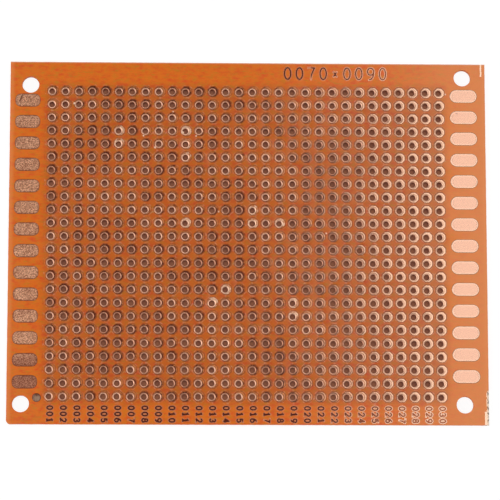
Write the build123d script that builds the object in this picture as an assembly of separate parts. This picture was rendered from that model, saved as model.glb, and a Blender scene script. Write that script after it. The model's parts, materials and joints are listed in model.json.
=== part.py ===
from build123d import *
import os
from math import pi, radians, sqrt, tan

# A prototype board: one thin phenolic laminate, drilled with a grid of lead holes and four
# mounting holes, and copper foil pads in a row along each short edge.
# Millimetres. The origin is the middle of the underside. +X runs along the long side, +Y towards
# the far long side, and +Z up through the copper side.

# The board blank
board_length = 90.6
board_width = 69.3
board_thickness = 1.2
worn_corner_radius = 0.8      # only the near left corner is rounded off
foil_thickness = 0.035        # one ounce copper
foil_inset = 0.02             # how far the foil stays inside a sawn edge

# The grid of lead holes. A drilled hole is round, and here it is cut square to the same area, so
# that the whole grid goes right through the board and still keeps few faces.
lead_pitch = 2.54
lead_columns = 30
lead_rows = 24
lead_hole_diameter = 1.0
lead_grid_centre = (-0.51, -0.30)

# The mounting holes, which the real board has out of square
mounting_hole_diameter = 3.2
mounting_hole_centres = [
    (-41.42, 30.22),
    (40.95, 31.97),
    (-42.62, -30.85),
    (40.81, -30.85),
]

# The edge pads, long across the board, with ends rounded to half the pad's width
edge_pad_count = 14
edge_pad_pitch = 4.145
edge_pad_width = 2.46
left_pad_length = 4.7
left_pad_centre_x = -41.93
left_pad_first_y = 27.15
right_pad_length = 5.15
right_pad_centre_x = 41.13
right_pad_first_y = 28.38

# The single round pad without a hole, beside the last row
dot_pad_diameter = 1.65
dot_pad_centre = (-39.63, -29.7)
dot_pad_corners = 8

# What is left of a copper border at the two right-hand corners
far_strip_width = 0.34
far_strip_length = 2.4
far_strip_centre_x = 44.52
near_strip_width = 0.55
near_strip_length = 2.5
near_strip_centre_x = 44.73
near_tail_width = 0.2
near_tail_length = 3.6


def lead_hole_places():
    """The middle of every lead hole, row by row from the far side."""
    first_x = lead_grid_centre[0] - (lead_columns - 1) / 2 * lead_pitch
    first_y = lead_grid_centre[1] + (lead_rows - 1) / 2 * lead_pitch
    for row in range(lead_rows):
        for column in range(lead_columns):
            yield first_x + column * lead_pitch, first_y - row * lead_pitch


def make_laminate():
    """The drilled board: its outline, the lead holes and the mounting holes, cut through."""
    outline = Rectangle(board_length, board_width)
    near_left = outline.vertices().sort_by(Axis.Y)[:2].sort_by(Axis.X)[0]
    outline = fillet(near_left, worn_corner_radius)
    lead_hole_side = sqrt(pi) / 2 * lead_hole_diameter
    openings = [
        Pos(x, y) * Wire.make_rect(lead_hole_side, lead_hole_side)
        for x, y in lead_hole_places()
    ]
    openings += [
        Pos(x, y) * Wire.make_circle(mounting_hole_diameter / 2)
        for x, y in mounting_hole_centres
    ]
    return extrude(Face(outline.face().outer_wire(), openings), board_thickness)


def make_foil(sketch):
    """A piece of copper foil of the sketch's outline, lying on the laminate."""
    return Pos(0, 0, board_thickness) * extrude(sketch, foil_thickness)


def edge_pad(length, centre_x, centre_y):
    """One edge pad, its round ends as flats that touch the true arc."""
    end_radius = edge_pad_width / 2
    corner_cut = end_radius * (1 - tan(radians(22.5)))
    outline = Rectangle(length, edge_pad_width)
    outline = chamfer(outline.vertices(), corner_cut)
    return make_foil(Pos(centre_x, centre_y) * outline)


def strip(width, length, centre_x, far_y):
    """A straight piece of foil that runs along Y and ends at far_y."""
    return Pos(centre_x, far_y - length / 2) * Rectangle(width, length)


def make_near_strip():
    """The wider border remnant at the near right corner, with its narrow tail."""
    near_edge_y = -board_width / 2 + foil_inset
    wide_end_y = near_edge_y + near_strip_length
    wide = strip(near_strip_width, near_strip_length, near_strip_centre_x, wide_end_y)
    tail_x = near_strip_centre_x + (near_strip_width - near_tail_width) / 2
    tail = strip(near_tail_width, near_tail_length, tail_x, wide_end_y + near_tail_length)
    return make_foil(wide + tail)


def make_parts():
    """Every piece of the board, by node name."""
    parts = {"laminate": make_laminate()}
    for index in range(edge_pad_count):
        down = index * edge_pad_pitch
        left = edge_pad(left_pad_length, left_pad_centre_x, left_pad_first_y - down)
        right = edge_pad(right_pad_length, right_pad_centre_x, right_pad_first_y - down)
        parts[f"edge_pad_left_{index + 1:02d}"] = left
        parts[f"edge_pad_right_{index + 1:02d}"] = right
    dot = RegularPolygon(dot_pad_diameter / 2, dot_pad_corners, rotation=180 / dot_pad_corners)
    parts["dot_pad"] = make_foil(Pos(*dot_pad_centre) * dot)
    far_edge_y = board_width / 2 - foil_inset
    far_strip = strip(far_strip_width, far_strip_length, far_strip_centre_x, far_edge_y)
    parts["border_strip_far"] = make_foil(far_strip)
    parts["border_strip_near"] = make_near_strip()
    return parts


os.makedirs("parts", exist_ok=True)
for node, solid in make_parts().items():
    export_step(solid, f"parts/{node}.step")
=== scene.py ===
import json
from math import ceil, cos, pi, radians, sin, sqrt, tau
import random

import bpy
from mathutils import Matrix, Vector, kdtree, noise
from mathutils.geometry import delaunay_2d_cdt


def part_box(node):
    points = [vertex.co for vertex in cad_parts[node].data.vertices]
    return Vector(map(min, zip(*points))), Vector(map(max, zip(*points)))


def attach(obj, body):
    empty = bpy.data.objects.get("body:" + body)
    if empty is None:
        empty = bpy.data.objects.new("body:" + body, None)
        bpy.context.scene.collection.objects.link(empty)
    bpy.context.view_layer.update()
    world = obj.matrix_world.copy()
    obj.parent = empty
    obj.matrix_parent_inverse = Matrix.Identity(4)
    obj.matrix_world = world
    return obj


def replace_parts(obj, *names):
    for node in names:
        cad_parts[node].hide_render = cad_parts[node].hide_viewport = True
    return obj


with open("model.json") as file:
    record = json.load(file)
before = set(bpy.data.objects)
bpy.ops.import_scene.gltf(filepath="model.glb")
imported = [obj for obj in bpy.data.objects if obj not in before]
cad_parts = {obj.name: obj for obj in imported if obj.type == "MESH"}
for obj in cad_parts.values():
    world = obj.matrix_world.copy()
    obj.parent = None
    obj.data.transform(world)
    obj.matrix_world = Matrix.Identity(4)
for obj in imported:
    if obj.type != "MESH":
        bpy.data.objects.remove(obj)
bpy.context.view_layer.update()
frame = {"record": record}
scene = bpy.context.scene
mm = 0.001


# Colours and shader nodes

def tone(red, green, blue):
    # from a colour as it shows on screen to the linear one that shaders take
    def linear(value):
        value /= 255
        return value / 12.92 if value <= 0.04045 else ((value + 0.055) / 1.055) ** 2.4
    return (linear(red), linear(green), linear(blue), 1.0)


def grey(shade):
    return (shade, shade, shade, 1.0)


class Signal:
    # one output socket of a shader, which can stand in an expression
    def __init__(self, shader, socket):
        self.shader = shader
        self.socket = socket

    def __add__(self, other):
        return self.shader.math("ADD", self, other)

    def __radd__(self, other):
        return self.shader.math("ADD", other, self)

    def __sub__(self, other):
        return self.shader.math("SUBTRACT", self, other)

    def __rsub__(self, other):
        return self.shader.math("SUBTRACT", other, self)

    def __mul__(self, other):
        return self.shader.math("MULTIPLY", self, other)

    def __rmul__(self, other):
        return self.shader.math("MULTIPLY", other, self)

    def __abs__(self):
        return self.shader.math("ABSOLUTE", self)


class Shader:
    # the nodes of one material, or of the world
    def __init__(self, owner):
        owner.use_nodes = True
        self.owner = owner
        self.tree = owner.node_tree
        self.tree.nodes.clear()

    def node(self, kind, settings=None, sockets=None, output=0):
        # output is one name or number, or a tuple of them for several signals
        made = self.tree.nodes.new(kind)
        for name, value in (settings or {}).items():
            setattr(made, name, value)
        for name, value in (sockets or {}).items():
            if isinstance(value, Signal):
                self.tree.links.new(value.socket, made.inputs[name])
            else:
                made.inputs[name].default_value = value
        if isinstance(output, tuple):
            return [Signal(self, made.outputs[name]) for name in output]
        return Signal(self, made.outputs[output]) if made.outputs else made

    def mix(self, factor, first, second, mode="MIX"):
        settings = {"data_type": "RGBA", "blend_type": mode}
        return self.node("ShaderNodeMix", settings, {0: factor, 6: first, 7: second}, 2)

    def math(self, operation, *terms):
        return self.node("ShaderNodeMath", {"operation": operation}, dict(enumerate(terms)))

    def vector(self, operation, *terms, output=0):
        settings = {"operation": operation}
        return self.node("ShaderNodeVectorMath", settings, dict(enumerate(terms)), output)

    def split(self, place):
        return self.node("ShaderNodeSeparateXYZ", {}, {0: place}, (0, 1, 2))

    def ease(self, value, start, end, low=0.0, high=1.0):
        # smooth step from low at start to high at end
        sockets = {0: value, 1: start, 2: end, 3: low, 4: high}
        return self.node("ShaderNodeMapRange", {"interpolation_type": "SMOOTHSTEP"}, sockets)

    def finish(self, surface):
        world = isinstance(self.owner, bpy.types.World)
        kind = "ShaderNodeOutputWorld" if world else "ShaderNodeOutputMaterial"
        self.node(kind, {}, {"Surface": surface})
        return self.owner


class Material(Shader):
    # a material of the board, with the place on it in millimetres
    def __init__(self, name):
        super().__init__(bpy.data.materials.new(name))
        metres = self.node("ShaderNodeTexCoord", output="Object")
        self.place = self.vector("MULTIPLY", metres, (1 / mm, 1 / mm, 1 / mm))
        self.x, self.y, self.z = self.split(self.place)

    def paint(self, factor, tone, mode="MIX"):
        # one more layer over the colour that a material has set
        self.colour = self.mix(factor, self.colour, tone, mode)

    def noise(self, scale, detail, rough, stretch=None, shift=None):
        place = self.vector("ADD", self.place, shift) if shift else self.place
        if stretch:
            place = self.vector("MULTIPLY", place, stretch)
        sockets = {"Vector": place, "Scale": scale, "Detail": detail, "Roughness": rough}
        return self.node("ShaderNodeTexNoise", {}, sockets, "Fac")

    def trait(self, name):
        # the value that addTrait gave the points
        return self.node("ShaderNodeAttribute", {"attribute_name": name}, {}, "Fac")

    def bump(self, height, strength):
        sockets = {"Strength": strength, "Distance": 0.02 * mm, "Height": height}
        return self.node("ShaderNodeBump", {}, sockets)


def centred(signal, width):
    # from a signal between 0 and 1, one of this width about 0
    return signal * width - width / 2


# The board's layout

laminateLow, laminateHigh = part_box("laminate")
boardTop = laminateHigh.z

leadGrid = {
    "columns": 30,
    "rows": 24,
    "pitch": 2.54 * mm,
    "centre": Vector((-0.51, -0.30)) * mm,
    "drill": 0.515 * mm,  # radius of a lead hole
    "drift": 0.025 * mm,  # how far a hole strays from its place
    "seed": 11,
}
dish = {
    # the punch drew the copper down round each hole
    "reach": (0.70 * mm, 0.82 * mm),  # where the drop begins, from the hole's middle
    "curve": 0.43 * mm,  # radius of the rolled edge
    "depth": (0.70, 1.15),
    "lean": 0.30,  # how much deeper one side may be than the other
    "splash": 0.06 * mm,  # how much farther out it begins at a splashed pad
}
leadPad = {
    "offset": Vector((0.165, 0.10)) * mm,  # the etched pattern is off the drilled one
    "skew": Vector((0.02, -0.05)) * mm,  # and a little more so towards the ends
    "stray": 0.03 * mm,
    "size": (0.985, 1.015),
    "sides": 24,
    "corner": 1.06,  # reach of its eight worn corners, as a part of its inner radius
    # column and row of the pads that the flux splashed, which shine
    "splashed": [
        (6, 4), (6, 5), (11, 4), (11, 5), (11, 6), (11, 11), (16, 10), (16, 11), (18, 11),
        (14, 16), (13, 17), (19, 17), (19, 18),
    ],
    "shine": 0.40,  # of a middling pad
    "cluster": 0.55,  # how far it strays together with its neighbours
    "clusterScale": 90.0,  # per metre
    "chance": 0.22,  # and how far by itself
    "mostShine": 0.9,
}


def padShine(nominal, splashed, dice):
    # how bright a pad is, from 0 to 1
    if splashed:
        return 1.0
    cloud = noise.noise(Vector((nominal.x, nominal.y, 0.0)) * leadPad["clusterScale"])
    chance = dice.uniform(-leadPad["chance"], leadPad["chance"])
    shine = leadPad["shine"] + leadPad["cluster"] * cloud + chance
    return min(leadPad["mostShine"], max(0.0, shine))


def makeLeadPlaces():
    # every hole and its pad, column by column
    dice = random.Random(leadGrid["seed"])
    columns, rows, pitch = leadGrid["columns"], leadGrid["rows"], leadGrid["pitch"]
    places = []
    for column in range(columns):
        for row in range(rows):
            nominal = leadGrid["centre"] + Vector((
                (column - (columns - 1) / 2) * pitch,
                ((rows - 1) / 2 - row) * pitch,
            ))
            drift = Vector((dice.uniform(-1, 1), dice.uniform(-1, 1))) * leadGrid["drift"]
            stray = Vector((dice.uniform(-1, 1), dice.uniform(-1, 1))) * leadPad["stray"]
            stray += leadPad["skew"] * (2 * column / (columns - 1) - 1)
            splashed = (column + 1, row + 1) in leadPad["splashed"]
            leanTo = dice.uniform(0, tau)
            leanWay = Vector((cos(leanTo), sin(leanTo)))
            places.append({
                "hole": nominal + drift,
                "pad": nominal + leadPad["offset"] + stray,
                "depth": dice.uniform(*dish["depth"]),
                "reach": dice.uniform(*dish["reach"]) + (dish["splash"] if splashed else 0.0),
                "lean": leanWay * dice.uniform(0, dish["lean"]),
                "shine": padShine(nominal, splashed, dice),
                "size": dice.uniform(*leadPad["size"]),
                "turn": dice.uniform(0, tau),
            })
    return places


def dishDrop(place, x, y):
    # how far the punched surface lies below the board's face
    away = Vector((x, y)) - place["hole"]
    reach = min(place["reach"] - away.length, place["reach"] - leadGrid["drill"])
    if reach <= 0:
        return 0.0
    depth = place["depth"] * (1 + place["lean"].dot(away.normalized()))
    return depth * (dish["curve"] - sqrt(dish["curve"] ** 2 - reach ** 2))


def newObject(name, data):
    made = bpy.data.objects.new(name, data)
    scene.collection.objects.link(made)
    return made


def addPiece(name, points, faces, material):
    mesh = bpy.data.meshes.new(name)
    mesh.from_pydata(points, [], faces)
    mesh.materials.append(material)
    mesh.shade_smooth()
    mesh.set_sharp_from_angle(angle=radians(30))
    mesh.update()
    piece = newObject(name, mesh)
    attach(piece, "root")
    return piece


def addTrait(piece, name, values):
    # a value at each point, which a material reads
    piece.data.attributes.new(name, "FLOAT", "POINT").data.foreach_set("value", values)


def circle(centre, radius, sides, turn=0.0):
    steps = [turn + tau * side / sides for side in range(sides)]
    return [(centre.x + radius * cos(a), centre.y + radius * sin(a)) for a in steps]


def octagonReach(x, y):
    # how far out a point lies, measured square to the nearest side of an octagon
    return max(abs(x), abs(y), (abs(x) + abs(y)) * sqrt(0.5))


def nearOctagon(centre, radius, part):
    # a circle where part is 0, and where it is 1 an octagon with its corners worn round
    outline = []
    for x, y in circle(Vector((0, 0)), 1.0, leadPad["sides"], pi / 8):
        reach = min(1 / octagonReach(x, y), leadPad["corner"])
        scale = radius * (1 + (reach - 1) * part)
        outline.append((centre.x + x * scale, centre.y + y * scale))
    return outline


class Shape:
    # points and faces of one mesh, built from closed loops
    def __init__(self):
        self.points = []
        self.faces = []

    def loop(self, outline, heights):
        first = len(self.points)
        if not isinstance(heights, list):
            heights = [heights] * len(outline)
        self.points += [(x, y, z) for (x, y), z in zip(outline, heights)]
        return list(range(first, len(self.points)))

    def band(self, outer, inner):
        # quads between two equal loops, facing up if these run anticlockwise
        count = len(outer)
        for side in range(count):
            after = (side + 1) % count
            self.faces.append((outer[side], outer[after], inner[after], inner[side]))

    def sleeve(self, rings):
        for outer, inner in zip(rings, rings[1:]):
            self.band(outer, inner)

    def mound(self, rings):
        # a closed solid from its foot to its top
        self.sleeve(rings)
        self.faces.append(tuple(rings[-1]))
        self.faces.append(tuple(reversed(rings[0])))


def fillAround(shape, outline, holes, upward):
    # triangles between an outline and its holes, which are all convex
    loops = [outline] + holes
    names = [i for ring in loops for i in ring]
    flat = [Vector(shape.points[i][:2]) * 1000 for i in names]
    owner = [number for number, ring in enumerate(loops) for _ in ring]
    edges = []
    start = 0
    for ring in loops:
        count = len(ring)
        edges += [(start + i, start + (i + 1) % count) for i in range(count)]
        start += count
    _, _, triangles, origins, _, _ = delaunay_2d_cdt(flat, edges, [], 0, 1e-6)
    back = [origin[0] for origin in origins]
    for triangle in triangles:
        corners = [back[i] for i in triangle]
        owners = {owner[i] for i in corners}
        if len(owners) == 1 and owners != {0}:
            continue
        face = [names[i] for i in corners]
        shape.faces.append(tuple(face if upward else reversed(face)))


# The laminate: sawn outline, dished lead holes, four mounting holes

laminate = {
    "cornerRadius": 0.8 * mm,  # at the near left only
    "cornerSteps": 8,
    "edgeStep": 0.55 * mm,
    "edgeBreak": 0.04 * mm,  # along the sawn edges
    "sawMarks": 0.03 * mm,  # how far the sawn edges waver
    "tear": 0.22 * mm,  # and how far they do where the board was snapped off
    "tornBelow": -28.2 * mm,
    "tornWidth": 1.0 * mm,  # counted from the right-hand end
    "holeSides": 20,
    "dishRings": (0.86 * mm, 0.68 * mm),  # radii
    "mountSides": 64,
    "mountBreak": 0.05 * mm,
    "exitFlare": 0.07 * mm,  # where the punch broke out underneath
    "exitHeight": 0.08 * mm,
    "seed": 5,
}


def boardOutline():
    # anticlockwise from the rounded near left corner, each point with its way inward
    dice = random.Random(laminate["seed"])
    low, high = laminateLow, laminateHigh
    radius = laminate["cornerRadius"]
    centre = Vector((low.x + radius, low.y + radius))
    outline = []
    for step in range(laminate["cornerSteps"] + 1):
        angle = pi + pi / 2 * step / laminate["cornerSteps"]
        away = Vector((cos(angle), sin(angle)))
        outline.append((centre + away * radius, -away))
    corners = [
        (Vector((high.x, low.y)), Vector((-1, 1))),
        (Vector((high.x, high.y)), Vector((-1, -1))),
        (Vector((low.x, high.y)), Vector((1, -1))),
        outline[0],
    ]
    start = outline[-1][0]
    for corner, diagonal in corners:
        run = corner - start
        inward = Vector((-run.y, run.x)).normalized()
        steps = round(run.length / laminate["edgeStep"])
        for step in range(1, steps):
            point = start + run * step / steps
            nearEnd = point.x > high.x - laminate["tornWidth"]
            torn = nearEnd and point.y < laminate["tornBelow"]
            waver = dice.random() * (laminate["tear"] if torn else laminate["sawMarks"])
            outline.append((point + inward * waver, inward))
        outline.append((corner, diagonal))
        start = corner
    return outline[:-1]


def drillLead(shape, place):
    # from the face down through the hole and out underneath, and the first and last ring
    sides, drill, turn = laminate["holeSides"], leadGrid["drill"], place["turn"]
    rings = []
    for radius in (*laminate["dishRings"], drill):
        outline = circle(place["hole"], radius, sides, turn)
        heights = [boardTop - dishDrop(place, x, y) for x, y in outline]
        rings.append(shape.loop(outline, heights))
    rings.append(shape.loop(circle(place["hole"], drill, sides, turn), laminate["exitHeight"]))
    flare = circle(place["hole"], drill + laminate["exitFlare"], sides, turn)
    rings.append(shape.loop(flare, 0.0))
    shape.sleeve(rings)
    return rings[0], rings[-1]


def drillMount(shape, centre, radius):
    edge = laminate["mountBreak"]
    straight = circle(centre, radius, laminate["mountSides"])
    wide = circle(centre, radius + edge, laminate["mountSides"])
    rings = [
        shape.loop(wide, boardTop),
        shape.loop(straight, boardTop - edge),
        shape.loop(straight, edge),
        shape.loop(wide, 0.0),
    ]
    shape.sleeve(rings)
    return rings[0], rings[-1]


def makeLaminate(places, mounts, material):
    shape = Shape()
    edgeBreak = laminate["edgeBreak"]
    outline = boardOutline()
    side = [tuple(point) for point, _ in outline]
    face = [tuple(point + inward * edgeBreak) for point, inward in outline]
    rims = [
        shape.loop(face, 0.0),
        shape.loop(side, edgeBreak),
        shape.loop(side, boardTop - edgeBreak),
        shape.loop(face, boardTop),
    ]
    shape.sleeve(rims)
    holes = [drillLead(shape, place) for place in places]
    holes += [drillMount(shape, centre, radius) for centre, radius in mounts]
    fillAround(shape, rims[-1], [top for top, _ in holes], True)
    fillAround(shape, rims[0], [bottom for _, bottom in holes], False)
    piece = addPiece("drilledLaminate", shape.points, shape.faces, material)
    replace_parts(piece, "laminate")


# The round pads, one column of them to a piece

padProfile = [
    # radius, how far the middle has moved from the pad's to the hole's, height over the face
    (0.957, 0.0, -0.010), (0.955, 0.0, 0.012), (0.942, 0.0, 0.024), (0.914, 0.0, 0.032),
    (0.875, 0.1, 0.035), (0.800, 0.5, 0.035), (0.740, 0.8, 0.035), (0.680, 1.0, 0.035),
    (0.620, 1.0, 0.034), (0.560, 1.0, 0.030), (0.520, 1.0, 0.012), (0.510, 1.0, -0.035),
]


def addLeadPad(shape, place):
    rings = []
    for radius, shift, lift in padProfile:
        centre = place["pad"].lerp(place["hole"], shift)
        outline = nearOctagon(centre, radius * mm * place["size"], 1 - shift)
        heights = [boardTop - dishDrop(place, x, y) + lift * mm for x, y in outline]
        rings.append(shape.loop(outline, heights))
    shape.sleeve(rings + rings[:1])


def makeLeadPads(places, material):
    for column in range(leadGrid["columns"]):
        shape = Shape()
        traits = {"shine": [], "fromHole": [], "fromPad": []}
        for place in places[column * leadGrid["rows"]:(column + 1) * leadGrid["rows"]]:
            first = len(shape.points)
            addLeadPad(shape, place)
            for x, y, _ in shape.points[first:]:
                point = Vector((x, y))
                traits["shine"].append(place["shine"])
                traits["fromHole"].append((point - place["hole"]).length / mm)
                traits["fromPad"].append(octagonReach(*(point - place["pad"])) / mm)
        name = f"leadPads.{column + 1:02d}"
        piece = addPiece(name, shape.points, shape.faces, material)
        for trait, values in traits.items():
            addTrait(piece, trait, values)


# The edge pads, the dot pad and the border strips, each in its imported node's place

edgePad = {
    "count": 14,
    "endSteps": 12,
    "leftCorner": 0.95 * mm,  # the left-hand pads have squarer ends
    "profile": [
        # inset from the outline and height over the laminate, in millimetres
        (0.000, -0.008), (0.003, 0.012), (0.018, 0.024), (0.050, 0.032), (0.110, 0.035),
        (0.250, 0.035), (0.320, 0.026), (0.400, 0.034), (0.450, 0.035), (0.520, 0.035),
    ],
}
dotPad = {
    "sides": 32,
    "cadSides": 8,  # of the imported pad, whose corners lie on the true circle
}


def roundedBar(low, high, corner, inset):
    # a bar with round corners, anticlockwise, moved in by the inset
    radius, steps = corner - inset, edgePad["endSteps"]
    corners = [
        (high.x - corner, low.y + corner, -pi / 2),
        (high.x - corner, high.y - corner, 0.0),
        (low.x + corner, high.y - corner, pi / 2),
        (low.x + corner, low.y + corner, pi),
    ]
    outline = []
    for x, y, start in corners:
        for step in range(steps + 1):
            angle = start + pi / 2 * step / steps
            outline.append((x + radius * cos(angle), y + radius * sin(angle)))
    return outline


def makePlainPad(node, material, outlineAt):
    # a pad without a hole, its outline given for each inset of the profile
    shape = Shape()
    rings = []
    insets = []
    for inset, lift in edgePad["profile"]:
        rings.append(shape.loop(outlineAt(inset * mm), boardTop + lift * mm))
        insets += [inset] * len(rings[-1])
    shape.mound(rings)
    piece = addPiece(node.replace("_", "-"), shape.points, shape.faces, material)
    addTrait(piece, "inset", insets)
    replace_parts(piece, node)


def makeEdgePad(node, corner, material):
    # without a corner given, the ends are full half circles
    low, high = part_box(node)
    corner = corner or (high.y - low.y) / 2 - 0.001 * mm
    makePlainPad(node, material, lambda inset: roundedBar(low, high, corner, inset))


def makeDotPad(material):
    low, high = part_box("dot_pad")
    centre = (low + high) / 2
    radius = (high.x - low.x) / 2 / cos(pi / dotPad["cadSides"])
    makePlainPad("dot_pad", material, lambda inset: circle(centre, radius - inset, dotPad["sides"]))


# Foil figures and strips: flat strokes of a pen, joined into one outline and raised

indexFigures = {
    "height": 1.06 * mm,  # along X, as the figures are read towards -Y
    "width": 0.62 * mm,
    "advance": 1.16 * mm,
    "nib": 0.53 * mm,
    "offset": 0.22 * mm,  # from the column's holes along X
    "middle": -32.75 * mm,
}
sizeFigures = {
    # plain figures in the far margin
    "figures": "0070+0090",
    "start": Vector((6.95, 31.52)) * mm,
    "height": 2.25 * mm,
    "width": 1.2 * mm,
    "advance": 2.27 * mm,
    "nib": 0.48 * mm,
}
foilLook = {
    "crown": 0.034 * mm,  # height in the middle of a stroke
    "rim": 0.030 * mm,  # and at its edge
    "sink": 0.004 * mm,  # into the laminate
    "trackStep": 0.04 * mm,
    "liftAt": radians(50),  # the pen is lifted at sharper corners than this
    "overrun": 0.4,  # of the nib's width, past an open end
    "innerPart": 0.85,  # of a tight bend's radius, which its inner side may reach
}


def bend(x, y, across, up, start, end, steps=9):
    # points along part of an ellipse, from one angle to another in degrees
    angles = [radians(start + (end - start) * step / steps) for step in range(steps + 1)]
    return [(x + across * cos(a), y + up * sin(a)) for a in angles]


figureStrokes = {
    # pen strokes in a box one wide and one high
    "0": [bend(0.5, 0.5, 0.5, 0.5, 90, 450, 20)],
    "1": [[(0.18, 0.84), (0.5, 1.0), (0.5, 0.0)], [(0.2, 0.0), (0.8, 0.0)]],
    "2": [bend(0.5, 0.71, 0.46, 0.29, 165, -38) + [(0.04, 0.0), (1.0, 0.0)]],
    "3": [bend(0.46, 0.77, 0.42, 0.23, 155, -88) + bend(0.46, 0.27, 0.5, 0.27, 85, -155)],
    "4": [[(0.74, 0.0), (0.74, 1.0), (0.0, 0.28), (1.0, 0.28)]],
    "5": [[(0.9, 1.0), (0.16, 1.0), (0.1, 0.56)] + bend(0.48, 0.32, 0.5, 0.32, 110, -150)],
    "6": [bend(0.72, 0.35, 0.72, 0.65, 85, 180, 6), bend(0.5, 0.3, 0.5, 0.3, 180, 540, 18)],
    "7": [[(0.0, 1.0), (1.0, 1.0), (0.55, 0.45), (0.42, 0.0)]],
    "8": [bend(0.5, 0.76, 0.4, 0.24, 90, 450, 16), bend(0.5, 0.26, 0.5, 0.26, 90, 450, 18)],
    "9": [bend(0.28, 0.65, 0.72, 0.65, -95, 0, 6), bend(0.5, 0.7, 0.5, 0.3, 0, 360, 18)],
    "+": [[(0.25, 0.25), (0.75, 0.65)], [(0.25, 0.65), (0.75, 0.25)]],
}


class Foil:
    # flat patches of foil, which may overlap until they are raised
    def __init__(self):
        self.corners = []
        self.patches = []
        self.track = []  # close points along the middle of every stroke

    def patch(self, corners):
        first = len(self.corners)
        self.corners += [Vector(corner) / mm for corner in corners]
        self.patches.append(list(range(first, len(self.corners))))

    def write(self, figure, nib, placed):
        # placed turns a place in the figure's box into one on the board
        for stroke in figureStrokes[figure]:
            self.stroke([placed(across, up) for across, up in stroke], nib)

    def stroke(self, points, nib):
        # a pen stroke, lifted and set down again at each sharp corner
        points = [Vector(point) for point in points]
        start = 0
        for number in range(1, len(points) - 1):
            arriving = points[number] - points[number - 1]
            leaving = points[number + 1] - points[number]
            if arriving.angle(leaving) > foilLook["liftAt"]:
                self.ribbon(points[start:number + 1], nib)
                start = number
        self.ribbon(points[start:], nib)

    def ribbon(self, points, nib):
        # in two halves, so that its middle line can stand higher than its edges
        closed = (points[0] - points[-1]).length < 0.001 * mm
        last = len(points) - 1
        for start, end in zip(points, points[1:]):
            steps = ceil((end - start).length / foilLook["trackStep"])
            self.track += [start.lerp(end, step / steps) for step in range(steps + 1)]
        lines = []
        for number, point in enumerate(points):
            before = points[number - 1] if number else (points[-2] if closed else point)
            after = points[number + 1] if number < last else (points[1] if closed else point)
            ahead = (after - before).normalized()
            if not closed and number in (0, last):
                overrun = foilLook["overrun"]
                point = point + ahead * nib * (overrun if number else -overrun)
            aside = Vector((-ahead.y, ahead.x))
            # on the inside of a tight bend the side stays short of the bend's own centre
            legs = (point - before, after - point)
            turn = legs[0].angle_signed(legs[1], 0.0)
            bendRadius = (legs[0].length + legs[1].length) / 2 / max(abs(turn), 0.001)
            inner = min(nib / 2, bendRadius * foilLook["innerPart"])
            left, right = (inner, nib / 2) if turn < 0 else (nib / 2, inner)
            lines.append((point - aside * right, point, point + aside * left))
        for start, end in zip(lines, lines[1:]):
            self.patch([start[0], end[0], end[1], start[1]])
            self.patch([start[1], end[1], end[2], start[2]])

    def margins(self, points, nib):
        # 0 at the middle of a stroke, 1 at its side
        track = kdtree.KDTree(len(self.track))
        for number, point in enumerate(self.track):
            track.insert(point.to_3d(), number)
        track.balance()
        return [track.find((point * mm).to_3d())[2] / (nib / 2) for point in points]

    def raised(self, name, material, nib=None):
        joined = delaunay_2d_cdt(self.corners, [], self.patches, 0, 1e-4)
        points, _, triangles, _, _, origins = joined
        kept = [tuple(triangle) for triangle, origin in zip(triangles, origins) if origin]
        sides = {(t[i], t[(i + 1) % 3]) for t in kept for i in range(3)}
        rim = [side for side in sides if side[::-1] not in sides]
        margins = self.margins(points, nib) if nib else [1.0] * len(points)
        crown, fall = foilLook["crown"], foilLook["crown"] - foilLook["rim"]
        count = len(points)
        top = [
            (point.x * mm, point.y * mm, boardTop + crown - fall * min(margin, 1.0))
            for point, margin in zip(points, margins)
        ]
        bottom = [(x, y, boardTop - foilLook["sink"]) for x, y, _ in top]
        faces = kept + [tuple(corner + count for corner in reversed(t)) for t in kept]
        faces += [(a + count, b + count, b, a) for a, b in rim]
        used = sorted({corner for face in faces for corner in face})
        fresh = {old: new for new, old in enumerate(used)}
        everyPoint = top + bottom
        faces = [tuple(fresh[corner] for corner in face) for face in faces]
        piece = addPiece(name, [everyPoint[old] for old in used], faces, material)
        addTrait(piece, "margin", [margins[old % count] for old in used])
        return piece


def makeIndexFigures(material):
    look = indexFigures
    foil = Foil()
    for column in range(leadGrid["columns"]):
        fromMiddle = (column - (leadGrid["columns"] - 1) / 2) * leadGrid["pitch"]
        middleX = leadGrid["centre"].x + fromMiddle + look["offset"]
        for index, figure in enumerate(f"{column + 1:03d}"):
            middleY = look["middle"] - (index - 1) * look["advance"]
            foil.write(figure, look["nib"], lambda across, up: (
                middleX + (up - 0.5) * look["height"],
                middleY - (across - 0.5) * look["width"],
            ))
    foil.raised("indexFigures", material, look["nib"])


def makeSizeFigures(material):
    look = sizeFigures
    foil = Foil()
    for place, figure in enumerate(look["figures"]):
        corner = look["start"] + Vector((place * look["advance"], 0))
        foil.write(figure, look["nib"], lambda across, up: (
            corner.x + across * look["width"],
            corner.y + up * look["height"],
        ))
    foil.raised("sizeFigures", material, look["nib"])


borderStrip = {
    "step": 0.22 * mm,
    "ragged": 0.07 * mm,  # how far the sides waver
    "raggedPart": 0.15,  # and the most of the width that they may
    "wideLength": 2.5 * mm,  # of the near strip; its thin tail runs on from there
    "tailWidth": 0.2 * mm,
    "tailOverlap": 0.05 * mm,
    # where the tail breaks off and begins again, as parts of the strip's length
    "breaks": [0.46, 0.58, 0.80, 0.86],
    "seed": 8,
}


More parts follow.
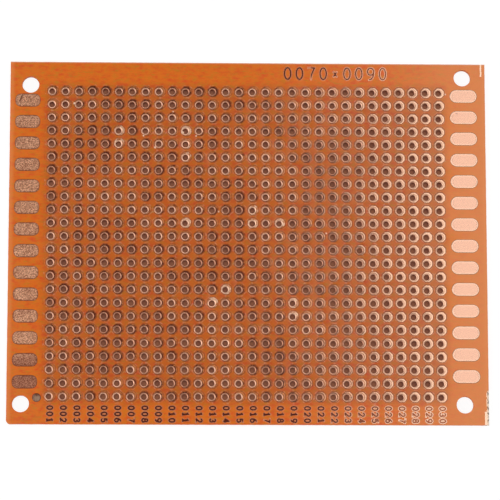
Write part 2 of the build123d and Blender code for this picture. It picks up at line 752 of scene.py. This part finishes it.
def raggedBar(foil, dice, left, right, bottom, top):
    # an upright bar whose long sides waver
    steps = max(2, round((top - bottom) / borderStrip["step"]))
    waver = min(borderStrip["ragged"], (right - left) * borderStrip["raggedPart"])
    rows = []
    for step in range(steps + 1):
        height = bottom + (top - bottom) * step / steps
        start, end = left + dice.random() * waver, right - dice.random() * waver
        rows.append([Vector((across, height)) for across in (start, (start + end) / 2, end)])
    for below, above in zip(rows, rows[1:]):
        foil.patch([below[0], below[1], above[1], above[0]])
        foil.patch([below[1], below[2], above[2], above[1]])


def makeBorderStrips(material):
    dice = random.Random(borderStrip["seed"])
    low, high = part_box("border_strip_far")
    foil = Foil()
    raggedBar(foil, dice, low.x, high.x, low.y, high.y)
    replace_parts(foil.raised("border-strip-far", material), "border_strip_far")
    low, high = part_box("border_strip_near")
    wideTop = low.y + borderStrip["wideLength"]
    foil = Foil()
    raggedBar(foil, dice, low.x, high.x, low.y, wideTop)
    breaks = [low.y + (high.y - low.y) * part for part in borderStrip["breaks"]]
    bottoms = [wideTop - borderStrip["tailOverlap"]] + breaks[1::2]
    for bottom, top in zip(bottoms, breaks[0::2] + [high.y]):
        raggedBar(foil, dice, high.x - borderStrip["tailWidth"], high.x, bottom, top)
    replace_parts(foil.raised("border-strip-near", material), "border_strip_near")


# Drops of dried flux on the face

fluxDrops = {
    # place in millimetres, radius
    "drops": [
        (-33.10, 26.61, 0.22), (37.71, 28.74, 0.15), (-17.7, 18.1, 0.20), (-19.9, 20.4, 0.16),
        (-12.5, 21.0, 0.26), (-9.9, 20.4, 0.15), (-14.3, 25.1, 0.15), (14.8, 1.7, 0.17),
        (-5.6, 5.8, 0.16), (23.5, -5.4, 0.14),
    ],
    "height": 0.075 * mm,  # some lie on a pad's edge
    "profile": [(1.0, -0.1), (0.97, 0.15), (0.75, 0.6), (0.4, 0.92)],  # parts of radius and height
    "wobble": (0.8, 1.15),  # how far the sides stray, as parts of the radius
    "sides": 14,
    "seed": 3,
    "amber": tone(236, 178, 140),
    "pale": tone(255, 226, 200),
}


def makeFluxDrops(material):
    look = fluxDrops
    dice = random.Random(look["seed"])
    shape = Shape()
    for x, y, radius in look["drops"]:
        wobble = [dice.uniform(*look["wobble"]) for _ in range(look["sides"])]
        rings = []
        for part, height in look["profile"]:
            outline = circle(Vector((x, y)) * mm, radius * mm * part, look["sides"])
            outline = [
                (x * mm + (px - x * mm) * size, y * mm + (py - y * mm) * size)
                for (px, py), size in zip(outline, wobble)
            ]
            rings.append(shape.loop(outline, boardTop + height * look["height"]))
        shape.mound(rings)
    addPiece("fluxDrops", shape.points, shape.faces, material)


# Materials

laminateLook = {
    "orange": tone(231, 113, 10),
    "red": tone(226, 84, 16),
    "olive": tone(206, 124, 14),
    "paintedSheen": tone(240, 144, 78),  # painted sheen: the right-hand end painted paler, as if the lamp's light lay on it
    "ring": tone(112, 52, 26),  # painted shadow line round a pad, and painted shade over the lead grid
    "paintedGloss": tone(236, 168, 132),  # painted highlight on the lacquer that rose against the foil, and along the far sawn edge
    "edge": tone(240, 142, 74),  # painted light, as if it came in through the sawn edges
    "bore": tone(190, 118, 86),
    "wall": tone(120, 66, 42),
    "under": tone(158, 88, 44),
    "torn": tone(128, 98, 74),
    "tornPale": tone(250, 222, 196),
    "fibreDark": grey(0.33),
    "fibreLight": grey(0.67),
    # layers of noise: scale, detail, roughness, stretch and shift
    "broad": (0.7, 4.0, 0.65, (0.8, 1.5, 1.0)),
    "patch": (0.85, 4.0, 0.65, (0.7, 1.8, 1.0), (31.0, 7.0, 0.0)),
    "streak": (0.9, 3.0, 0.7, (1.0, 1.7, 1.0), (9.0, 4.0, 0.0)),
    "fibre": (1.6, 4.0, 0.65, (0.5, 2.8, 1.0)),
    "plies": (1.0, 3.0, 0.6, (0.5, 0.5, 9.0)),
    # where a tone begins and is full, in millimetres
    "paintedSheenAlong": (22.0, 46.0),
    "padShadow": (1.2, 0.97),  # from the middle of a round pad
    "paintedGlossInside": (1.06, 1.14),
    "paintedGlossOutside": (1.3, 1.18),
    "edgePadShadow": (0.13, 0.02),  # from the outline of an edge pad
}


def leadCells(mat, middle):
    # the place within its own cell of the lead grid, from the cell's middle
    pitch = leadGrid["pitch"] / mm
    fromMiddle = mat.vector("SUBTRACT", mat.place, (*(middle / mm), 0.0))
    cells = mat.vector("DIVIDE", fromMiddle, (pitch, pitch, 1.0))
    part = mat.vector("SUBTRACT", mat.vector("FRACTION", cells), (0.5, 0.5, 0.0))
    return mat.vector("MULTIPLY", part, (pitch, pitch, 0.0))


def padDistances(mat):
    # from the nearest lead hole's middle, and from its pad's as octagonReach has it
    toHole = mat.vector("LENGTH", leadCells(mat, leadGrid["centre"]), output="Value")
    fromPad = leadCells(mat, leadGrid["centre"] + leadPad["offset"])
    across, along, _ = mat.split(mat.vector("ABSOLUTE", fromPad))
    square = mat.math("MAXIMUM", across, along)
    return toHole, mat.math("MAXIMUM", square, (across + along) * sqrt(0.5))


def edgePadDistance(mat, side):
    # from the outline of the nearest pad in the row along one edge, in millimetres
    low, high = (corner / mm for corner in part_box(f"edge_pad_{side}_01"))
    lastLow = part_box(f"edge_pad_{side}_{edgePad['count']}")[0].y / mm
    pitch = (low.y - lastLow) / (edgePad["count"] - 1)
    radius = (high.y - low.y) / 2
    reach = (high.x - low.x) / 2 - radius
    middle = (low + high) / 2
    outside = mat.math("MAXIMUM", abs(mat.x - middle.x) - reach, 0.0)
    rows = (mat.y - middle.y - pitch / 2) * (1 / pitch)
    along = mat.math("FRACT", rows) * pitch - pitch / 2
    both = mat.node("ShaderNodeCombineXYZ", {}, {0: outside, 1: along})
    # past the row's ends the distance is made long
    halfRow = (high.y - lastLow) / 2
    fromRow = abs(mat.y - (high.y + lastLow) / 2)
    past = mat.ease(fromRow, halfRow + 0.7, halfRow + 1.3)
    return mat.vector("LENGTH", both, output="Value") - radius + past * 9.0


def insideGrid(mat, margin=0.0, blend=0.1):
    pitch = leadGrid["pitch"] / mm
    gridX, gridY = leadGrid["centre"] / mm
    halfX = leadGrid["columns"] / 2 * pitch - margin
    halfY = leadGrid["rows"] / 2 * pitch - margin
    across = mat.ease(abs(mat.x - gridX), halfX + blend, halfX)
    return across * mat.ease(abs(mat.y - gridY), halfY + blend, halfY)


def mottlePaper(mat, fibre):
    # the paper under the resin, and a painted sheen at its right-hand end
    look = laminateLook
    broad, patch, streak = (mat.noise(*look[name]) for name in ("broad", "patch", "streak"))
    mat.colour = mat.mix(mat.ease(broad, 0.46, 0.70), look["orange"], look["red"])
    mat.paint(mat.ease(patch, 0.48, 0.72), look["olive"])
    weave = mat.mix(fibre, look["fibreDark"], look["fibreLight"])
    mat.paint(0.6, weave, "OVERLAY")
    mat.paint(mat.ease(streak, 0.52, 0.68, 0.0, 0.45), look["red"])
    mat.paint(mat.ease(streak, 0.46, 0.32, 0.0, 0.45), look["olive"])
    # painted sheen: paler towards the right-hand end, standing in for the lamp's reflection
    mat.paint(mat.ease(mat.x, *look["paintedSheenAlong"], 0.0, 0.7), look["paintedSheen"])


def shadePads(mat, toPad, inGrid):
    # painted shade: a dark shadow line round each pad and a darker lead grid, with a painted
    # highlight outside each pad where the lacquer rose
    look = laminateLook
    # the lead grid painted darker than the margins: painted shade between the pads
    mat.paint(insideGrid(mat, 1.2, 2.4) * 0.3, look["ring"])
    for side in ("left", "right"):
        shadow = mat.ease(edgePadDistance(mat, side), *look["edgePadShadow"])
        mat.paint(shadow * 0.5, look["ring"])
    shadow = mat.ease(toPad, *look["padShadow"]) * inGrid
    mat.paint(shadow * 0.6, look["ring"])
    # a painted highlight just outside each pad, broken up by noise
    paintedGloss = mat.ease(toPad, *look["paintedGlossInside"]) * mat.ease(toPad, *look["paintedGlossOutside"])
    spark = mat.ease(mat.noise(1.7, 3.0, 0.7), 0.45, 0.7, 0.0, 0.6)
    mat.paint(paintedGloss * inGrid * spark, look["paintedGloss"])


def shadeCuts(mat, toHole, inGrid, fibre):
    # the sawn edges, the torn corner, the holes' walls and the underside
    look = laminateLook
    x, y, z = mat.x, mat.y, mat.z
    endX, farY, top = (size / mm for size in laminateHigh)
    tornFrom = laminate["tornBelow"] / mm
    # the left and right ends painted paler: painted light through the sawn edges
    mat.paint(mat.ease(abs(x), endX - 1.1, endX - 0.3) * 0.55, look["edge"])
    # painted highlight along the far sawn edge
    mat.paint(mat.ease(y, farY - 0.3, farY - 0.05) * 0.8, look["paintedGloss"])
    torn = mat.ease(x, endX - 0.42, endX - 0.3) * mat.ease(y, tornFrom + 0.4, tornFrom - 0.4)
    speckle = mat.ease(mat.noise(2.3, 2.0, 0.6), 0.42, 0.52)
    mat.paint(torn, mat.mix(speckle, look["torn"], look["tornPale"]))
    bore = mat.ease(toHole, 0.72, 0.64) * inGrid * mat.ease(z, top - 0.04, top - 0.1)
    mat.paint(bore, look["bore"])
    side = mat.ease(z, top - 0.03, top - 0.06) * mat.ease(z, 0.0, 0.03)
    plies = mat.ease(mat.noise(*look["plies"]), 0.4, 0.65, 0.0, 0.45)
    mat.paint(side * plies, look["wall"])
    under = mat.mix(fibre, look["wall"], look["under"])
    mat.paint(mat.ease(z, 0.02, 0.0), under)


def laminateMaterial():
    mat = Material("phenolicLaminate")
    fibre = mat.noise(*laminateLook["fibre"])
    toHole, toPad = padDistances(mat)
    inGrid = insideGrid(mat)
    mottlePaper(mat, fibre)
    shadePads(mat, toPad, inGrid)
    shadeCuts(mat, toHole, inGrid, fibre)
    return mat.finish(mat.node("ShaderNodeBsdfPrincipled", {}, {
        "Base Color": mat.colour,
        "Roughness": mat.ease(fibre, 0.3, 0.7, 0.42, 0.55),
        "Specular IOR Level": 0.06,
        "Coat Weight": mat.ease(mat.z, 1.15, 1.19),  # lacquer on the copper side
        "Coat IOR": 1.42,
        "Coat Roughness": 0.15,
        "Normal": mat.bump(mat.noise(9.0, 3.0, 0.6), 0.25),
    }))


copperLook = {
    "bright": tone(255, 204, 170),
    "brightEdge": tone(255, 214, 184),
    "padLight": tone(250, 198, 166),
    "padPink": tone(240, 183, 158),
    "smudge": tone(196, 140, 128),
    "smudgePlace": (39.82, 25.01),  # in millimetres, on the second right-hand pad
    "dishClean": tone(238, 184, 154),
    "ringDark": tone(204, 142, 114),
    "ringLight": tone(255, 196, 166),
    "flatDark": tone(128, 58, 30),
    "flatLight": tone(212, 128, 74),
    "maroon": tone(76, 30, 20),
    # painted shade on the copper lip at the hole's edge
    "lipShade": tone(124, 76, 56),
    "figureBrown": tone(170, 98, 66),
    "figureDark": tone(98, 40, 26),
    "figurePale": tone(228, 146, 104),
    "glint": tone(255, 212, 180),
    "dullAndUnlitUpTo": 8.0,  # left of this, in millimetres, the copper is tarnished and without its painted reflection
    "cleanAndLitFrom": 38.0,  # and right of this it is clean and painted bright, a painted reflection of the lamp
    "waver": 12.0,  # how far the change wavers
    # where a round pad's tones begin and are full, in millimetres from the hole
    "lipShadeTo": (0.59, 0.53),
    "flatFrom": (0.72, 0.81),
    "shadeTo": (1.0, 0.84),
    "brightFrom": (0.56, 0.80),
    "glintFrom": (0.56, 0.64),
    "farSide": (0.80, 1.05),
    "rimFrom": (0.91, 0.95),  # from the pad's own middle
}
leftPadLook = {
    "light": tone(255, 196, 158),
    "dark": tone(160, 94, 64),
    "outline": tone(120, 66, 48),
    "old": tone(206, 186, 184),  # the two lowest pads are multiplied by this, darker towards the bottom
    "darkerBelow": (-19.0, -24.0),  # in millimetres
    # one scratch on the first pad: its middle, its way and half its length, in millimetres
    "scratch": ((-43.23, 27.52), (0.355, 0.935), 0.80),
}
dotPadLook = {
    "grey": tone(172, 138, 116),
    "brown": tone(116, 72, 54),
    "outline": tone(90, 52, 38),
}


def finishCopper(mat, height, strength, roughness):
    return mat.finish(mat.node("ShaderNodeBsdfPrincipled", {}, {
        "Base Color": mat.colour,
        "Metallic": 1.0,
        "Roughness": roughness,
        "Coat Weight": 0.15,
        "Coat Roughness": 0.12,
        "Normal": mat.bump(height, strength),
    }))


def copperDullAndUnlit(mat, early=0.0):
    # from 0, clean copper painted bright as a painted reflection, to 1, tarnished copper without
    # it; early moves the change to the left, in millimetres
    look = copperLook
    waver = centred(mat.noise(0.25, 3.0, 0.6), look["waver"])
    return mat.ease(mat.x + waver + early, look["cleanAndLitFrom"], look["dullAndUnlitUpTo"])


def leadPadMaterial():
    mat = Material("leadPadCopper")
    look = copperLook
    shine = mat.trait("shine")
    fromHole = mat.trait("fromHole")
    grain = mat.noise(2.4, 2.0, 0.5)
    cloud = mat.noise(1.1, 3.0, 0.7)
    # clean, painted-bright copper first shows at the pad's far side
    dullAndUnlit = copperDullAndUnlit(mat, mat.ease(fromHole, *look["farSide"], -4.0, 9.0))
    # dull copper: a pale ring, partly the rolled copper's colour and partly a painted highlight,
    # and a brown flat with painted shade, darkest next to the ring
    lit = mat.ease(shine + centred(grain, 0.9), 0.0, 0.9)
    ring = mat.mix(lit, look["ringDark"], look["ringLight"])
    light = mat.ease(cloud + shine * 0.25 - 0.1, 0.38, 0.62)
    flat = mat.mix(light, look["flatDark"], look["flatLight"])
    shade = mat.ease(fromHole, *look["shadeTo"]) * mat.ease(shine, 0.9, 0.0, 0.2, 0.9)
    flat = mat.mix(shade, flat, look["maroon"])
    old = mat.mix(mat.ease(fromHole, *look["flatFrom"]), ring, flat)
    # clean copper: brightest on the flat, with painted shade on the dish's slope
    bright = mat.ease(fromHole, *look["brightFrom"])
    cleanAndLit = mat.mix(bright, look["dishClean"], look["bright"])
    mat.colour = mat.mix(dullAndUnlit, cleanAndLit, old)
    # a painted highlight along the pad's outer edge
    rim = mat.ease(mat.trait("fromPad"), *look["rimFrom"])
    mat.paint(rim * 0.45, look["flatLight"])
    # painted shade on the copper lip that runs down into the hole
    mat.paint(mat.ease(fromHole, *look["lipShadeTo"]), look["lipShade"])
    # painted glints, highlights on the pads that the flux splashed
    glint = mat.ease(cloud, 0.42, 0.58) * mat.ease(shine, 0.9, 1.0)
    glint = glint * mat.ease(fromHole, *look["glintFrom"])
    mat.paint(glint * 0.7, look["glint"])
    return finishCopper(mat, grain, 0.4, 0.25)


def rightPadMaterial():
    mat = Material("cleanLitCopper")
    look = copperLook
    grain = mat.noise(3.2, 3.0, 0.6)
    speck = mat.noise(9.0, 2.0, 0.5)
    inset = mat.trait("inset")
    # the right-hand pads are the lit copy of the copper: painted bright, standing in for the lamp's
    # reflection
    mat.colour = mat.mix(mat.ease(speck, 0.35, 0.65), look["padLight"], look["padPink"])
    mat.paint(mat.ease(grain, 0.5, 0.7, 0.0, 0.6), look["padPink"])
    smudgeX, smudgeY = look["smudgePlace"]
    across, along = abs(mat.x - smudgeX), abs(mat.y - smudgeY)
    smudge = mat.ease(across, 0.3, 0.1) * mat.ease(along, 0.2, 0.08)
    mat.paint(smudge * 0.6, look["smudge"])
    # a painted highlight along the pad's edge
    mat.paint(mat.ease(inset, 0.25, 0.12), look["brightEdge"])
    # a painted highlight on the groove of the profile, where it catches the light
    groove = mat.ease(inset, 0.25, 0.32) * mat.ease(inset, 0.399, 0.33)
    mat.paint(groove * 0.6, look["ringLight"])
    mat.paint(mat.ease(inset, 0.02, 0.0) * 0.5, look["flatDark"])
    return finishCopper(mat, grain, 0.2, 0.25)


def figureMaterial():
    # the figures and the border strips
    mat = Material("figureCopper")
    look = copperLook
    grain = mat.noise(3.2, 3.0, 0.6)
    dullAndUnlit = copperDullAndUnlit(mat)
    middle = mat.mix(dullAndUnlit, look["figureBrown"], look["figureDark"])
    margin = mat.mix(dullAndUnlit, look["brightEdge"], look["figurePale"])
    mat.colour = mat.mix(mat.ease(grain, 0.55, 0.8, 0.0, 0.25), middle, look["flatLight"])
    # the strokes' edges painted pale: a painted highlight along them
    mat.paint(mat.ease(mat.trait("margin"), 0.38, 0.70), margin)
    return finishCopper(mat, grain, 0.4, 0.25)


def leftPadMaterial():
    mat = Material("brushedShadedCopper")
    look = leftPadLook
    weave = mat.noise(3.4, 3.0, 0.75, (1.0, 1.5, 1.0))
    speck = mat.noise(7.0, 2.0, 0.5)
    cloud = mat.noise(0.7, 2.0, 0.5)
    brushed = mat.ease(weave + centred(speck, 0.5), 0.38, 0.62)
    # the left-hand pads are a darker, shaded copy of the copper: their dark tones are partly
    # painted shade
    mat.colour = mat.mix(brushed, look["dark"], look["light"])
    mat.paint(mat.ease(cloud, 0.45, 0.7, 0.0, 0.35), look["dark"])
    # darker towards the bottom of the row
    old = mat.ease(mat.y + centred(cloud, 6.0), *look["darkerBelow"])
    mat.paint(old, look["old"], "MULTIPLY")
    outline = mat.ease(mat.trait("inset") + centred(speck, 0.2), 0.25, 0.0)
    mat.paint(outline * 0.8, look["outline"])
    (middleX, middleY), (wayX, wayY), half = look["scratch"]
    fromX, fromY = mat.x - middleX, mat.y - middleY
    along = fromX * wayX + fromY * wayY
    across = fromX * wayY - fromY * wayX
    scratch = mat.ease(abs(across), 0.2, 0.08) * mat.ease(abs(along), half, half - 0.2)
    mat.paint(scratch * 0.85, look["outline"])
    return finishCopper(mat, weave + speck * 0.4, 1.0, 0.3)


def dotPadMaterial():
    mat = Material("staleCopper")
    look = dotPadLook
    stripes = mat.noise(1.0, 2.0, 0.5, (2.4, 0.4, 1.0))
    grain = mat.noise(4.0, 3.0, 0.6)
    outline = mat.ease(mat.trait("inset"), 0.22, 0.02)
    mat.colour = mat.mix(mat.ease(stripes, 0.42, 0.6), look["brown"], look["grey"])
    mat.paint(outline * 0.8, look["outline"])
    return finishCopper(mat, grain, 0.8, 0.3)


def fluxMaterial():
    mat = Material("driedFlux")
    grain = mat.noise(6.0, 2.0, 0.5)
    return mat.finish(mat.node("ShaderNodeBsdfPrincipled", {}, {
        "Base Color": mat.mix(grain, fluxDrops["amber"], fluxDrops["pale"]),
        "Roughness": 0.3,
        "Normal": mat.bump(grain, 0.3),
    }))


# The studio: floor, world, lamps and camera

studio = {
    "floorSize": 3.0,
    "floorDrop": 0.02 * mm,  # clear of the board's underside
    "floorShade": grey(0.16),
    "floorGlow": grey(0.90),
    "bounceShade": grey(0.8),
    "shadeUnderBoard": tone(80, 52, 42),
    "holeShadeGlow": tone(98, 60, 48),  # painted shade: a brown glow seen through the lead holes
    "holeShadeGlowPale": tone(124, 79, 58),
    "skyLow": 1.52,
    "skyHigh": 0.37,
    "skyFade": (0.42, 0.77),  # sines of the heights between which it fades
}
lamps = {
    "rightSoftbox": {
        "place": (0.20, 0.17, 1.00), "aim": (0.20, 0.17, 0.0), "size": (0.27, 0.60), "watts": 0.55,
    },
    "leftSoftbox": {
        "place": (-0.92, -0.10, 0.85), "aim": (0.0, 0.0, 0.0), "size": (0.9, 2.4), "watts": 5.0,
    },
}
photographer = {
    "place": Vector((-14.64, -85.65, 523.03)) * mm,
    "aim": Vector((0.35, -1.55, 1.20)) * mm,
    "lens": 201.3,
    "nearest": 0.01,
}


def floorMaterial():
    mat = Material("paleFloor")
    # under the lead grid the floor is painted dark brown and glows brown to the camera: painted
    # shade seen through the lead holes, paler at their middles
    covered = insideGrid(mat, 0.4)
    shade = mat.mix(covered, studio["floorShade"], studio["shadeUnderBoard"])
    lit = mat.node("ShaderNodeBsdfDiffuse", {}, {"Color": shade})
    uneven = mat.ease(mat.noise(0.35, 3.0, 0.7), 0.3, 0.7, 0.0, 0.8)
    pale = uneven + mat.ease(padDistances(mat)[0], 0.4, 0.1, 0.0, 0.5)
    through = mat.mix(pale, studio["holeShadeGlow"], studio["holeShadeGlowPale"])
    glowColour = mat.mix(covered, studio["floorGlow"], through)
    glow = mat.node("ShaderNodeEmission", {}, {"Color": glowColour})
    seen = mat.node("ShaderNodeAddShader", {}, {0: lit, 1: glow})
    bounce = mat.node("ShaderNodeBsdfDiffuse", {}, {"Color": studio["bounceShade"]})
    rays = ("Is Camera Ray", "Is Glossy Ray", "Is Transmission Ray")
    camera, glossy, transmitted = mat.node("ShaderNodeLightPath", {}, {}, rays)
    sockets = {0: camera + glossy + transmitted, 1: bounce, 2: seen}
    return mat.finish(mat.node("ShaderNodeMixShader", {}, sockets))


def makeFloor():
    half = studio["floorSize"] / 2
    mesh = bpy.data.meshes.new("paleFloor")
    corners = [(-half, -half, 0.0), (half, -half, 0.0), (half, half, 0.0), (-half, half, 0.0)]
    mesh.from_pydata(corners, [], [(0, 1, 2, 3)])
    mesh.materials.append(floorMaterial())
    floor = newObject("paleFloor", mesh)
    floor.location.z = -studio["floorDrop"]


def makeWorld():
    world = bpy.data.worlds.new("studioRoom")
    scene.world = world
    sky = Shader(world)
    direction = sky.node("ShaderNodeTexCoord", output="Generated")
    height = sky.vector("DOT_PRODUCT", direction, (0.0, 0.0, 1.0), output="Value")
    strength = sky.ease(height, *studio["skyFade"], studio["skyLow"], studio["skyHigh"])
    around = sky.node("ShaderNodeBackground", {}, {"Strength": strength})
    white = sky.node("ShaderNodeBackground", {}, {"Strength": 1.0})
    seen = sky.node("ShaderNodeLightPath", output="Is Camera Ray")
    sky.finish(sky.node("ShaderNodeMixShader", {}, {0: seen, 1: around, 2: white}))


def makeLamps():
    for name, lamp in lamps.items():
        light = bpy.data.lights.new(name, "AREA")
        light.shape = "RECTANGLE"
        light.size, light.size_y = lamp["size"]
        light.energy = lamp["watts"]
        holder = newObject(name, light)
        place, aim = Vector(lamp["place"]), Vector(lamp["aim"])
        holder.location = place
        holder.rotation_euler = (aim - place).to_track_quat("-Z", "Y").to_euler()


def makeCamera():
    data = bpy.data.cameras.new("photographer")
    data.lens = photographer["lens"]
    data.clip_start = photographer["nearest"]
    camera = newObject("photographer", data)
    place = photographer["place"]
    forward = (photographer["aim"] - place).normalized()
    right = forward.cross(Vector((0, 1, 0))).normalized()
    up = right.cross(forward)
    turn = Matrix((right, up, -forward)).transposed()
    camera.matrix_world = Matrix.Translation(place) @ turn.to_4x4()
    scene.camera = camera


# Build

makeCamera()
makeWorld()
makeLamps()
makeFloor()
print("studio ready")

places = makeLeadPlaces()
mounts = [
    (Vector(mount["pos_m"][:2]), mount["dims"]["r_mm"] * mm)
    for mount in frame["record"]["mounts"]
    if mount["kind"] == "bore"
]
makeLaminate(places, mounts, laminateMaterial())
print("laminate drilled")

cleanAndLit = rightPadMaterial()
brushed = leftPadMaterial()
makeLeadPads(places, leadPadMaterial())
for number in range(1, edgePad["count"] + 1):
    makeEdgePad(f"edge_pad_left_{number:02d}", edgePad["leftCorner"], brushed)
    makeEdgePad(f"edge_pad_right_{number:02d}", None, cleanAndLit)
makeDotPad(dotPadMaterial())
print("pads laid")

figureCopper = figureMaterial()
makeIndexFigures(figureCopper)
makeSizeFigures(figureCopper)
makeBorderStrips(figureCopper)
makeFluxDrops(fluxMaterial())
print("figures, strips and flux laid")

scene.view_settings.view_transform = "Standard"
